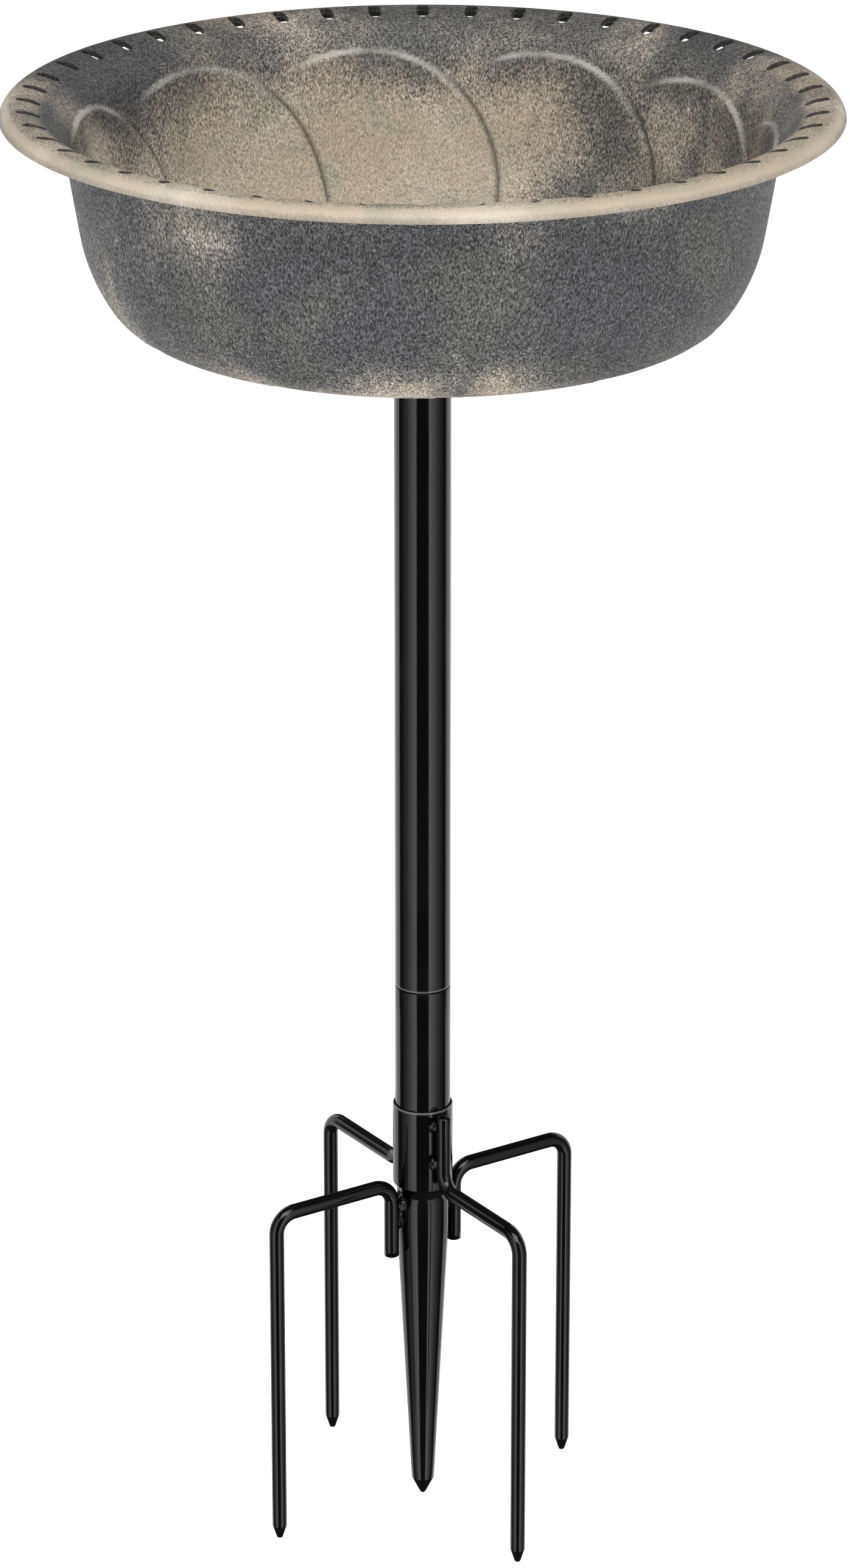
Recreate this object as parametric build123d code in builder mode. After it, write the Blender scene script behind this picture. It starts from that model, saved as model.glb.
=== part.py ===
"""Bird feeder bowl on a two-part pole, held up by a five-point ground stake.

Millimetres, +Z up. The origin is on the pole's axis, in the ground's surface: the plane where
the straight legs of the four prongs begin. The front of the feeder faces -Y.
"""

import os
from math import cos, radians, sin, tan

from build123d import *

# Bowl, with heights counted from the rim's top
RIM_TOP = 456.0
RIM_RADIUS = 160.0
BOWL_WALL = 2.2
LIP_ROLL = 6.0  # outer roll of the rim, on its upper skin
LIP_SWEEP = 80.0  # degrees, from the rim's crest to the lip's edge
RIM_ROLL = 20.6  # inner roll of the rim, on its upper skin
WALL_LEAN = 9.5  # degrees from vertical
WALL_FOOT_DEPTH = 49.6
FLANK_RADIUS = 67.0
FLANK_SWEEP = 24.4  # degrees
CORNER_RADIUS = 22.7
FLOOR_SLOPE = 2.2  # degrees, where the crowned floor meets the corner

# Slots through the rim
SLOT_COUNT = 48
SLOT_INNER = 144.5
SLOT_OUTER = 153.5
SLOT_WIDTH = 4.6

# Boss under the floor
BOSS_RADIUS = 19.0
BOSS_DEPTH = 109.0
RIB_COUNT = 6
RIB_REACH = 48.0
RIB_THICK = 3.0
RIB_LIFT = 4.75  # from the boss's foot up to a rib's lower corner
RIB_SINK = 1.0  # how deep a rib is rooted in the boss

# Pole: 22.2 mm (7/8 in) tube
POLE_RADIUS = 11.1
POLE_WALL = 1.0
SEAM_HEIGHT = 93.0
NECK_LENGTH = 28.0
NECK_STEP = 2.0  # length of the thick wall where the tube narrows to the neck
SLIP = 0.1  # radial clearance of the push fits
EDGE = 0.35  # rounding of the cut tube ends

# Screw joint under the bowl: M12 with a 1.75 mm pitch, drawn as plain cylinders
THREAD_RADIUS = 6.0
THREAD_SLIP = 0.08
THREAD_LENGTH = 13.0
STUD_CHAMFER = 1.0
PLUG_LENGTH = 16.0
WASHER_THICK = 1.5
WASHER_RADIUS = 15.0
INSERT_RADIUS = 9.0
INSERT_LENGTH = 15.0

# Stake
TIP_DEPTH = 137.0
SLEEVE_FOOT = 6.0
SLEEVE_LENGTH = 35.0
SLEEVE_WALL = 0.9
SPIKE_RADIUS = 10.5
SPIKE_WALL = 1.5
SPIKE_PLUG = 10.0  # length inside the sleeve
SPIKE_STRAIGHT = 21.0  # length of full width under the sleeve
SPIKE_END_RADIUS = 4.65
SPIKE_POINT = 7.5
SPIKE_TIP_RADIUS = 1.3

ROD_RADIUS = 3.0
PRONG_CIRCLE = 70.0
BEND_RADIUS = 8.0
INNER_LEG = 32.0  # from the arm's centreline to the leg's end
LEG_GAP = 0.05  # between the sleeve and a welded leg, which only the beads touch
ROD_POINT = 5.5
ROD_TIP_RADIUS = 1.2
# name, azimuth in degrees from +X, and whether the welded inner leg points up
PRONGS = (
    ("prong_front_left", 213.3, False),
    ("prong_front_right", 303.3, True),
    ("prong_back_right", 33.3, False),
    ("prong_back_left", 123.3, True),
)

BEAD_RADIUS = 2.3
BEAD_SINK = 0.8  # how deep a bead is melted into the steel
BEAD_ANGLE = 15.0  # degrees round the sleeve from the rod's centreline
UPPER_BEADS = (19.0, 35.5)  # heights of the beads beside a leg that points up
LOWER_BEADS = (-1.0,)  # height of the bead beside a leg that points down

# Worked out from the sizes above
SLEEVE_BORE = POLE_RADIUS + SLIP
SLEEVE_RADIUS = SLEEVE_BORE + SLEEVE_WALL
SLEEVE_TOP = SLEEVE_FOOT + SLEEVE_LENGTH
SPIKE_TOP = SLEEVE_FOOT + SPIKE_PLUG
POLE_BORE = POLE_RADIUS - POLE_WALL
BOSS_FOOT = RIM_TOP - BOSS_DEPTH
POLE_TOP = BOSS_FOOT - WASHER_THICK
LEG_CIRCLE = SLEEVE_RADIUS + LEG_GAP + ROD_RADIUS
ARM_HEIGHT = BEND_RADIUS

os.makedirs("parts", exist_ok=True)


def save(builder, name):
    """Label a finished sub-part and write its STEP file."""
    builder.part.label = name
    export_step(builder.part, f"parts/{name}.step")


def ring(inner, outer, foot, top):
    """Half section of a plain tube, in the plane of radius and height."""
    with BuildSketch(Plane.XZ) as section:
        with Locations(((inner + outer) / 2, (foot + top) / 2)):
            Rectangle(outer - inner, top - foot)
    return section


def draw_bowl_skin(inset):
    """Draw one skin of the bowl: the outer skin at inset 0, the inner skin at inset BOWL_WALL.

    The chain runs from the axis to the lip in the plane of radius and height, and each arc
    meets the next in a tangent.
    """
    roll_centre = Vector(RIM_RADIUS - LIP_ROLL, RIM_TOP - RIM_ROLL)
    roll_radius = RIM_ROLL - BOWL_WALL
    lean = radians(WALL_LEAN)
    inward = Vector(-cos(lean), sin(lean))

    wall_top = roll_centre + inward * roll_radius
    wall_drop = wall_top.Y - (RIM_TOP - WALL_FOOT_DEPTH)
    wall_foot = wall_top - Vector(wall_drop * tan(lean), wall_drop)
    flank_centre = wall_foot + inward * FLANK_RADIUS
    flank_end = WALL_LEAN + FLANK_SWEEP
    down = Vector(cos(radians(flank_end)), -sin(radians(flank_end)))
    corner_centre = flank_centre + down * (FLANK_RADIUS - CORNER_RADIUS)
    slope = radians(FLOOR_SLOPE)
    floor_edge = corner_centre + Vector(sin(slope), -cos(slope)) * CORNER_RADIUS
    floor_radius = floor_edge.X / sin(slope)
    floor_centre = Vector(0, floor_edge.Y + floor_radius * cos(slope))

    CenterArc(floor_centre, floor_radius - inset, -90, FLOOR_SLOPE)
    corner_sweep = 90 - FLOOR_SLOPE - flank_end
    CenterArc(corner_centre, CORNER_RADIUS - inset, FLOOR_SLOPE - 90, corner_sweep)
    CenterArc(flank_centre, FLANK_RADIUS - inset, -flank_end, FLANK_SWEEP)
    Line(wall_foot + inward * inset, wall_top + inward * inset)
    CenterArc(roll_centre, roll_radius + inset, 180 - WALL_LEAN, WALL_LEAN - 90)
    lip_centre = (RIM_RADIUS - LIP_ROLL, RIM_TOP - LIP_ROLL)
    CenterArc(lip_centre, LIP_ROLL - BOWL_WALL + inset, 90, -LIP_SWEEP)


def upright(azimuth):
    """Upright plane through the pole's axis: its x is the radius at this azimuth, its y is height."""
    turn = radians(azimuth)
    return Plane(
        origin=(0, 0, 0), x_dir=(cos(turn), sin(turn), 0), z_dir=(sin(turn), -cos(turn), 0)
    )


# ---------------------------------------------------------------- bowl
with BuildPart() as feeder_bowl:
    with BuildSketch(Plane.XZ):
        with BuildLine() as bowl_outline:
            draw_bowl_skin(0)
            draw_bowl_skin(BOWL_WALL)
            on_axis = bowl_outline.vertices().sort_by(Axis.X)[:2]
            Line(on_axis[0], on_axis[1])
            lip_ends = bowl_outline.vertices().group_by(Axis.X)[-2:]
            Line(lip_ends[0][0], lip_ends[1][0])
        make_face()
    revolve(axis=Axis.Z)
    floor_skins = feeder_bowl.faces().filter_by(GeomType.SPHERE).sort_by(Axis.Z)
    floor_height = floor_skins[0].bounding_box().min.Z

    # Slots through the flat of the rim, one of them at the very front
    with BuildSketch(Plane.XY.offset(RIM_TOP - LIP_ROLL - BOWL_WALL)):
        with PolarLocations((SLOT_INNER + SLOT_OUTER) / 2, SLOT_COUNT):
            SlotOverall(SLOT_OUTER - SLOT_INNER, SLOT_WIDTH)
    extrude(amount=LIP_ROLL + 2 * BOWL_WALL, mode=Mode.SUBTRACT)

    # Boss, rooted in the thickness of the floor, and its ribs
    root_height = floor_height + BOWL_WALL / 2
    with BuildSketch(Plane.XY.offset(BOSS_FOOT)):
        Circle(BOSS_RADIUS)
    extrude(amount=root_height - BOSS_FOOT)
    for rib in range(RIB_COUNT):
        with BuildSketch(upright(rib * 360 / RIB_COUNT)):
            with BuildLine():
                Polyline(
                    (BOSS_RADIUS - RIB_SINK, BOSS_FOOT + RIB_LIFT),
                    (RIB_REACH, root_height + BOWL_WALL / 2),
                    (BOSS_RADIUS - RIB_SINK, root_height),
                    close=True,
                )
            make_face()
        extrude(amount=RIB_THICK / 2, both=True)
    with BuildSketch(Plane.XY.offset(BOSS_FOOT)):
        Circle(INSERT_RADIUS)
    extrude(amount=INSERT_LENGTH, mode=Mode.SUBTRACT)
save(feeder_bowl, "feeder_bowl")

with BuildPart() as bowl_insert:
    insert_bore = THREAD_RADIUS + THREAD_SLIP
    section = ring(insert_bore, INSERT_RADIUS, BOSS_FOOT, BOSS_FOOT + INSERT_LENGTH)
    revolve(section.sketch, axis=Axis.Z)
save(bowl_insert, "bowl_insert")

with BuildPart() as bowl_washer:
    revolve(ring(THREAD_RADIUS + EDGE, WASHER_RADIUS, POLE_TOP, BOSS_FOOT).sketch, axis=Axis.Z)
save(bowl_washer, "bowl_washer")

# ---------------------------------------------------------------- pole
with BuildPart() as pole_top_stud:
    with BuildSketch(Plane.XY.offset(POLE_TOP - PLUG_LENGTH)):
        Circle(POLE_BORE)
    extrude(amount=PLUG_LENGTH)
    with BuildSketch(Plane.XY.offset(POLE_TOP)):
        Circle(THREAD_RADIUS)
    extrude(amount=WASHER_THICK + THREAD_LENGTH)
    chamfer(pole_top_stud.edges().sort_by(Axis.Z)[-1], length=STUD_CHAMFER)
save(pole_top_stud, "pole_top_stud")

with BuildPart() as upper_pole_tube:
    revolve(ring(POLE_BORE, POLE_RADIUS, SEAM_HEIGHT, POLE_TOP).sketch, axis=Axis.Z)
    ends = upper_pole_tube.edges().filter_by(GeomType.CIRCLE).sort_by(SortBy.RADIUS)[-2:]
    fillet(ends, radius=EDGE)
save(upper_pole_tube, "upper_pole_tube")

with BuildPart() as lower_pole_tube:
    neck_radius = POLE_BORE - SLIP
    revolve(ring(POLE_BORE, POLE_RADIUS, SPIKE_TOP, SEAM_HEIGHT).sketch, axis=Axis.Z)
    # The neck starts below the shoulder, so that its wall joins the tube's wall
    neck_foot = SEAM_HEIGHT - NECK_STEP
    neck = ring(neck_radius - POLE_WALL, neck_radius, neck_foot, SEAM_HEIGHT + NECK_LENGTH)
    revolve(neck.sketch, axis=Axis.Z)
    shoulder = ring(neck_radius - POLE_WALL, POLE_RADIUS, neck_foot, SEAM_HEIGHT)
    revolve(shoulder.sketch, axis=Axis.Z)
    neck_lip = lower_pole_tube.edges().filter_by(GeomType.CIRCLE).group_by(Axis.Z)[-1]
    chamfer(neck_lip.sort_by(SortBy.RADIUS)[-1], length=EDGE)
save(lower_pole_tube, "lower_pole_tube")

# ---------------------------------------------------------------- stake
with BuildPart() as stake_sleeve:
    revolve(ring(SLEEVE_BORE, SLEEVE_RADIUS, SLEEVE_FOOT, SLEEVE_TOP).sketch, axis=Axis.Z)
    fillet(stake_sleeve.edges().group_by(Axis.Z)[-1].sort_by(SortBy.RADIUS)[-1], radius=EDGE)
save(stake_sleeve, "stake_sleeve")

with BuildPart() as centre_spike:
    with BuildSketch(Plane.XZ):
        with BuildLine():
            Polyline(
                (0, -TIP_DEPTH),
                (SPIKE_TIP_RADIUS, -TIP_DEPTH),
                (SPIKE_END_RADIUS, SPIKE_POINT - TIP_DEPTH),
                (SPIKE_RADIUS, SLEEVE_FOOT - SPIKE_STRAIGHT),
                (SPIKE_RADIUS, SLEEVE_FOOT),
                (SLEEVE_BORE, SLEEVE_FOOT),
                (SLEEVE_BORE, SPIKE_TOP),
                (SPIKE_RADIUS - SPIKE_WALL, SPIKE_TOP),
                (SPIKE_RADIUS - SPIKE_WALL, SLEEVE_FOOT - SPIKE_STRAIGHT),
                (SPIKE_END_RADIUS - SPIKE_WALL, SPIKE_POINT - TIP_DEPTH),
                (0, SPIKE_POINT - TIP_DEPTH),
                close=True,
            )
        make_face()
    revolve(axis=Axis.Z)
save(centre_spike, "centre_spike")

for prong_name, azimuth, leg_up in PRONGS:
    with BuildPart() as prong:
        side = 1 if leg_up else -1
        with BuildLine(upright(azimuth)) as rod_line:
            FilletPolyline(
                (LEG_CIRCLE, ARM_HEIGHT + side * INNER_LEG),
                (LEG_CIRCLE, ARM_HEIGHT),
                (PRONG_CIRCLE, ARM_HEIGHT),
                (PRONG_CIRCLE, ROD_POINT - TIP_DEPTH),
                radius=BEND_RADIUS,
            )
        with BuildSketch(Plane(origin=rod_line.line @ 0, z_dir=rod_line.line % 0)):
            Circle(ROD_RADIUS)
        sweep()
        foot = rod_line.line @ 1
        with Locations(foot - Vector(0, 0, ROD_POINT / 2)):
            Cone(bottom_radius=ROD_TIP_RADIUS, top_radius=ROD_RADIUS, height=ROD_POINT)
    save(prong, prong_name)

with BuildPart() as prong_welds:
    for _, azimuth, leg_up in PRONGS:
        turn = radians(azimuth - BEAD_ANGLE if leg_up else azimuth + BEAD_ANGLE)
        # A leg that points up is welded to the sleeve, the others to the spike
        steel_radius = SLEEVE_RADIUS if leg_up else SPIKE_RADIUS
        circle = steel_radius + BEAD_RADIUS - BEAD_SINK
        for height in UPPER_BEADS if leg_up else LOWER_BEADS:
            with Locations((circle * cos(turn), circle * sin(turn), height)):
                Sphere(BEAD_RADIUS)
save(prong_welds, "prong_welds")
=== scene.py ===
"""Looks of the bird feeder: a weathered plastic bowl on a black powder-coated pole and stake.

Metres, in the frame of the CAD model: +Z up, the origin on the pole's axis in the ground's
surface, the front of the feeder towards -Y.
"""

from math import acos, asin, ceil, cos, degrees, exp, floor, pi, radians, sin, sqrt, tan

import bmesh
import bpy
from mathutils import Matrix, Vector, noise


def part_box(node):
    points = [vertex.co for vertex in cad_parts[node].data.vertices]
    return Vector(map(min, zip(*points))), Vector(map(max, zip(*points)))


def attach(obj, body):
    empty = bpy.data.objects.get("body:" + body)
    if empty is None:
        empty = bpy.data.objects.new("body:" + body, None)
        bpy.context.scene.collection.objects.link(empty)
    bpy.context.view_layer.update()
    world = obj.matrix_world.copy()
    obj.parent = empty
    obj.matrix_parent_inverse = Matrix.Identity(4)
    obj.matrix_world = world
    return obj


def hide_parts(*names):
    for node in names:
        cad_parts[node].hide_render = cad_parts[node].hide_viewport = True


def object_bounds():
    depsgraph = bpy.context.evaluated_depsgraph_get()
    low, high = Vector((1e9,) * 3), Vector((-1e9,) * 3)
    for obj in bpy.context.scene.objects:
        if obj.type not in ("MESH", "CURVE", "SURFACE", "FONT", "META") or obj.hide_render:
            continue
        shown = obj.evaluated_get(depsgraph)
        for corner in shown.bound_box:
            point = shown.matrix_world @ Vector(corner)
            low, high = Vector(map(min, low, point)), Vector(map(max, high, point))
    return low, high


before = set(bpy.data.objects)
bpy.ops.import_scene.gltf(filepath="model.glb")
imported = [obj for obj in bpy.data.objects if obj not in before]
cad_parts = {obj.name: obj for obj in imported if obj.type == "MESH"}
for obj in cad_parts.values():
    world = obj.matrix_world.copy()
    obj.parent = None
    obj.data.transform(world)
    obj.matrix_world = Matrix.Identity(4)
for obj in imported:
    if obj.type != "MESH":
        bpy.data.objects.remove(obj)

cad_low, cad_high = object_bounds()
MM = 0.001

# Bowl: the same chain of tangent arcs as the CAD bowl
BOWL_LOW, BOWL_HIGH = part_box("feeder_bowl")
RIM_RADIUS = 160 * MM
RIM_TOP = BOWL_HIGH[2]
BOWL_WALL = 2.2 * MM
LIP_ROLL = 6 * MM
LIP_SWEEP = radians(80)
RIM_ROLL = 20.6 * MM
WALL_LEAN = radians(9.5)
WALL_FOOT_DEPTH = 49.6 * MM
FLANK_RADIUS = 67 * MM
FLANK_SWEEP = radians(24.4)
CORNER_RADIUS = 22.7 * MM
FLOOR_SLOPE = radians(2.2)
CREST_RADIUS = RIM_RADIUS - LIP_ROLL  # radius of the rim's highest line

# Slots through the rim
SLOT_COUNT = 48
SLOT_MIDDLE = 149 * MM
SLOT_HALF_WIDTH = 2.3 * MM
SLOT_HALF_STRAIGHT = 2.2 * MM
SLOT_EDGE = 0.35 * MM
BAND_INNER = 143 * MM  # the ring of the mesh that holds the slots
BAND_OUTER = 155 * MM
SECTOR_COLUMNS = 8  # of the mesh, across one slot's share of that ring
SECTOR_ROWS = 6

# Petals in relief on the inside
PETAL_COUNT = 11
PETAL_HEIGHT = 1.6 * MM
PETAL_TOP = 24 * MM  # from the rim's crest down to a petal's highest point
PETAL_DROP = 62 * MM  # height of the half ellipse that outlines a petal
PETAL_RIGHT = radians(24.7)  # half width of a petal to its right
PETAL_LEFT = radians(30)  # and to its left, where the next petal lies over it
BACK_PETAL = radians(100.3)  # middle of the petal at the back, from +X
SHOULDER = 18 * MM  # depth from which the mesh's columns follow the outline
OUTER_RELIEF = 0.22  # how much of the relief shows on the outer skin

# Boss and ribs under the floor
BOSS_RADIUS = 19 * MM
RIB_COUNT = 6
RIB_THICK = 3 * MM
RIB_ROOT = 18 * MM
RIB_REACH = 48 * MM
RIB_LIFT = 4.75 * MM  # from the boss's foot up to a rib's lower corner

# Screw joint under the bowl: M12
THREAD_CREST = 6 * MM
THREAD_DEPTH = 1 * MM
THREAD_PITCH = 1.75 * MM
THREAD_SLIP = 0.13 * MM

# Stake
SPIKE_RADIUS = 10.5 * MM
ROD = 3 * MM
BEND = 8 * MM
INNER_LEG = 32 * MM
LEG_CIRCLE = 15.15 * MM
PRONG_CIRCLE = 70 * MM
POINT = 5.5 * MM
# name, azimuth in degrees from +X, and whether the welded leg points up
PRONGS = (
    ("prong_front_left", 213.3, False),
    ("prong_front_right", 303.3, True),
    ("prong_back_right", 33.3, False),
    ("prong_back_left", 123.3, True),
)

# Stage
BOX_HEIGHT = 4.2  # of the tall soft boxes around the feeder
BOX_MIDDLE = -0.3
FRONT_BOX_START = 31.0  # degrees from the front to the middle of the first box on each side
FRONT_BOX_SPAN = 12.5
FADING = (1.8, 1.35, 0.8, 0.4, 0.2)  # strengths of the front boxes, outwards
CAMERA_PLACE = (0.0009, -2.0558, 0.9732)
CAMERA_DIP = 21.133  # degrees below level
CAMERA_LENS = 127.93  # mm, on a 36 mm sensor


# ---------------------------------------------------------------- mesh tools
class Shell:
    """Vertices and faces of a mesh under construction, with the shading values of each vertex."""

    def __init__(self):
        self.points = []
        self.faces = []
        self.values = {"crease": {}, "ridge": {}, "painted_shade": {}, "edge_highlight": {}, "outside": {}}

    def point(self, x, y, z):
        self.points.append((x, y, z))
        return len(self.points) - 1

    def ring(self, radius, height, angles):
        return [self.point(radius * cos(a), radius * sin(a), height) for a in angles]

    def bridge(self, one, other):
        """Quads between two closed rings of the same length."""
        count = len(one)
        for i in range(count):
            j = (i + 1) % count
            self.faces.append((one[i], one[j], other[j], other[i]))

    def weave(self, fine, coarse):
        """Triangles between a closed ring and one with half as many vertices."""
        count = len(coarse)
        for i in range(count):
            j = (i + 1) % count
            left, middle, right = fine[2 * i], fine[2 * i + 1], fine[(2 * i + 2) % len(fine)]
            self.faces.append((coarse[i], left, middle))
            self.faces.append((coarse[i], middle, coarse[j]))
            self.faces.append((coarse[j], middle, right))

    def join(self, one, other):
        """Bridge two rings, halving the columns on the way if they differ."""
        if len(one) == len(other):
            self.bridge(one, other)
        elif len(one) > len(other):
            self.weave(one, other)
        else:
            self.weave(other, one)

    def cap(self, ring, centre):
        count = len(ring)
        for i in range(count):
            self.faces.append((ring[i], ring[(i + 1) % count], centre))

    def lathe(self, profile, columns, edge_highlight=None):
        """Turn a closed list of (radius, height) round the axis.

        edge_highlight, if given, tells from a point's radius and height whether its edge gets a painted
        highlight.
        """
        angles = [2 * pi * i / columns for i in range(columns)]
        rings = [self.ring(r, z, angles) for r, z in profile]
        for one, other in zip(rings, rings[1:] + rings[:1]):
            self.bridge(one, other)
        for (r, z), ring in zip(profile, rings):
            if edge_highlight and edge_highlight(r, z):
                self.values["edge_highlight"].update(dict.fromkeys(ring, 1.0))

    def finish(self, name, material):
        mesh = bpy.data.meshes.new(name)
        mesh.from_pydata(self.points, [], self.faces)
        for key, values in self.values.items():
            if values:
                layer = mesh.attributes.new(key, "FLOAT", "POINT")
                layer.data.foreach_set("value", [values.get(i, 0.0) for i in range(len(self.points))])
        edit = bmesh.new()
        edit.from_mesh(mesh)
        bmesh.ops.recalc_face_normals(edit, faces=edit.faces)
        edit.to_mesh(mesh)
        edit.free()
        mesh.shade_smooth()
        mesh.materials.append(material)
        piece = bpy.data.objects.new(name, mesh)
        bpy.context.scene.collection.objects.link(piece)
        return piece


def place(piece, body, slot, *nodes):
    """Put a finished piece on its body, in the stead of the CAD nodes it details."""
    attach(piece, body)
    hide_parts(*nodes)


def polar(centre_r, centre_z, radius, angle):
    """The point at this angle, in degrees, round a centre in the plane of radius and height."""
    a = radians(angle)
    return centre_r + radius * cos(a), centre_z + radius * sin(a)


def arc(centre_r, centre_z, radius, start, end, steps):
    """Points of an arc in the plane of radius and height, angles in degrees."""
    angles = [start + (end - start) * i / steps for i in range(steps + 1)]
    return [polar(centre_r, centre_z, radius, angle) for angle in angles]


# ---------------------------------------------------------------- material tools
class Nodes:
    """Short names for building a material's node tree."""

    def __init__(self, name, roughness):
        self.material = bpy.data.materials.new(name)
        self.material.use_nodes = True
        self.tree = self.material.node_tree
        self.shader = self.tree.nodes["Principled BSDF"]
        self.shader.inputs["Roughness"].default_value = roughness
        self.place = self.tree.nodes.new("ShaderNodeTexCoord").outputs["Object"]

    def add(self, kind, inputs, **settings):
        node = self.tree.nodes.new(kind)
        for key, value in settings.items():
            setattr(node, key, value)
        for key, value in inputs.items():
            socket = node.inputs[key]
            if isinstance(value, bpy.types.NodeSocket):
                self.tree.links.new(value, socket)
            else:
                socket.default_value = value
        return node

    def math(self, operation, *terms):
        inputs = dict(enumerate(terms))
        return self.add("ShaderNodeMath", inputs, operation=operation).outputs[0]

    def noise(self, scale, detail=2.0, roughness=0.5, distortion=0.0, place=None):
        inputs = {
            "Vector": place or self.place,
            "Scale": scale,
            "Detail": detail,
            "Roughness": roughness,
            "Distortion": distortion,
        }
        return self.add("ShaderNodeTexNoise", inputs).outputs["Fac"]

    def stretched(self, x, y, z):
        """The piece's coordinates, scaled along each axis."""
        inputs = {"Vector": self.place, "Scale": (x, y, z)}
        return self.add("ShaderNodeMapping", inputs).outputs["Vector"]

    def step(self, value, low, high, out_low=0.0, out_high=1.0):
        inputs = {
            "Value": value,
            "From Min": low,
            "From Max": high,
            "To Min": out_low,
            "To Max": out_high,
        }
        node = self.add("ShaderNodeMapRange", inputs, interpolation_type="SMOOTHSTEP")
        return node.outputs["Result"]

    def blend(self, factor, one, other, mode="MIX"):
        node = self.add("ShaderNodeMix", {}, data_type="RGBA", blend_type=mode)
        for socket, value in zip((node.inputs[0], node.inputs[6], node.inputs[7]), (factor, one, other)):
            if isinstance(value, bpy.types.NodeSocket):
                self.tree.links.new(value, socket)
            else:
                socket.default_value = value
        return node.outputs[2]

    def attribute(self, name):
        node = self.add("ShaderNodeAttribute", {}, attribute_name=name)
        return node.outputs["Fac"]

    def cloud(self, azimuth, radius, height, size):
        """1 at a point given by its azimuth in degrees, radius and height, falling to 0 at size."""
        turn = radians(azimuth)
        centre = (radius * cos(turn), radius * sin(turn), height)
        inputs = {0: self.place, 1: centre}
        far = self.add("ShaderNodeVectorMath", inputs, operation="DISTANCE").outputs["Value"]
        return self.step(far, size, 0.0)

    def bump(self, height, distance, strength):
        inputs = {"Height": height, "Distance": distance, "Strength": strength}
        return self.add("ShaderNodeBump", inputs).outputs["Normal"]

    def wire(self, socket, value):
        self.tree.links.new(value, self.shader.inputs[socket])


def colour(red, green, blue):
    """A colour given by its 0 to 255 display values, as the linear values that shaders use."""
    linear = []
    for level in (red, green, blue):
        share = level / 255
        linear.append(share / 12.92 if share <= 0.04045 else ((share + 0.055) / 1.055) ** 2.4)
    return (*linear, 1.0)


# ---------------------------------------------------------------- materials
# Azimuth in degrees from +X, radius and depth below the rim's top in mm, size in mm and amount
INNER_CLOUDS = (
    # wall and floor
    (103, 132, 50, 55, 0.40),
    (118, 128, 66, 50, 0.30),
    (92, 130, 66, 45, 0.38),
    (135, 130, 50, 55, 0.34),
    (158, 131, 50, 50, 0.28),
    (175, 131, 55, 45, 0.15),
    (74, 131, 42, 42, 0.32),
    (80, 126, 70, 38, 0.25),
    (90, 40, 88, 110, 0.30),
    (60, 130, 55, 30, 0.06),
    (76, 133, 22, 18, -0.14),
    (35, 133, 40, 45, 0.12),
    (28, 130, 55, 22, 0.20),
    # upper band and flange at the back
    (95, 143, 8, 40, -0.06),
    (115, 143, 8, 40, -0.06),
    (75, 143, 10, 35, -0.05),
    (52, 147, 5, 24, 0.10),
    (140, 143, 14, 30, 0.08),
    (119, 142, 12, 40, 0.09),
    (172, 148, 4, 45, 0.11),
    (25, 148, 4, 35, 0.08),
    (5, 140, 20, 70, 0.15),
    (-25, 145, 10, 60, 0.12),
)
OUTER_CLOUDS = (
    (-88, 130, 42, 45, -0.25),
    (-62, 128, 50, 55, -0.25),
    (-108, 128, 52, 50, -0.25),
    (-128, 134, 26, 32, 0.12),
    (-120, 112, 76, 36, 0.20),
    (-95, 106, 80, 48, 0.15),
    (-72, 106, 80, 42, 0.12),
    (-75, 134, 24, 22, 0.12),
    (-118, 136, 18, 26, 0.05),
    (-140, 134, 26, 34, 0.12),
    (-78, 118, 74, 24, 0.06),
    (-100, 118, 74, 26, 0.08),
)


def paint_clouds(n, clouds):
    """Sum of soft clouds of paint, each fading from its middle."""
    total = 0.0
    for azimuth, radius, depth, size, amount in clouds:
        cloud = n.cloud(azimuth, radius * MM, RIM_TOP - depth * MM, size * MM)
        total = n.math("MULTIPLY_ADD", cloud, amount, total)
    return total


def paint_amount(n, on_lip, y, z):
    """How much paint is on the plastic: noise, where the brush put more or less of it, and a painted
    highlight on the lip and crest towards the front.
    """
    wisps = n.noise(11.0, 5.0, 0.6, 0.5)
    strokes = n.noise(26.0, 4.0, 0.6, 0.4, n.stretched(1.0, 1.0, 0.4))
    cover = n.math("MULTIPLY_ADD", strokes, 0.4, n.math("MULTIPLY_ADD", wisps, 0.7, 0.12))
    inside = n.math("SUBTRACT", 1.0, n.attribute("outside"))
    cover = n.math("MULTIPLY_ADD", paint_clouds(n, INNER_CLOUDS), inside, cover)
    cover = n.math("ADD", paint_clouds(n, OUTER_CLOUDS), cover)

    # The lip has more paint than the walls, most at the front, where part of the extra is a painted
    # highlight
    lip_cover = n.step(y, 70 * MM, -80 * MM, 0.38, 0.67)
    change = n.math("MULTIPLY_ADD", cover, -0.65, lip_cover)
    cover = n.math("MULTIPLY_ADD", on_lip, change, cover)

    # The rim's crest is brushed as well, from the sides to the front, where the extra is partly a painted
    # highlight
    crest = n.step(z, RIM_TOP - 4 * MM, RIM_TOP - 1 * MM)
    front = n.step(y, 110 * MM, -90 * MM, 0.0, 0.3)
    cover = n.math("MULTIPLY_ADD", crest, front, cover)
    return n.step(cover, 0.5, 1.2)


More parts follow.
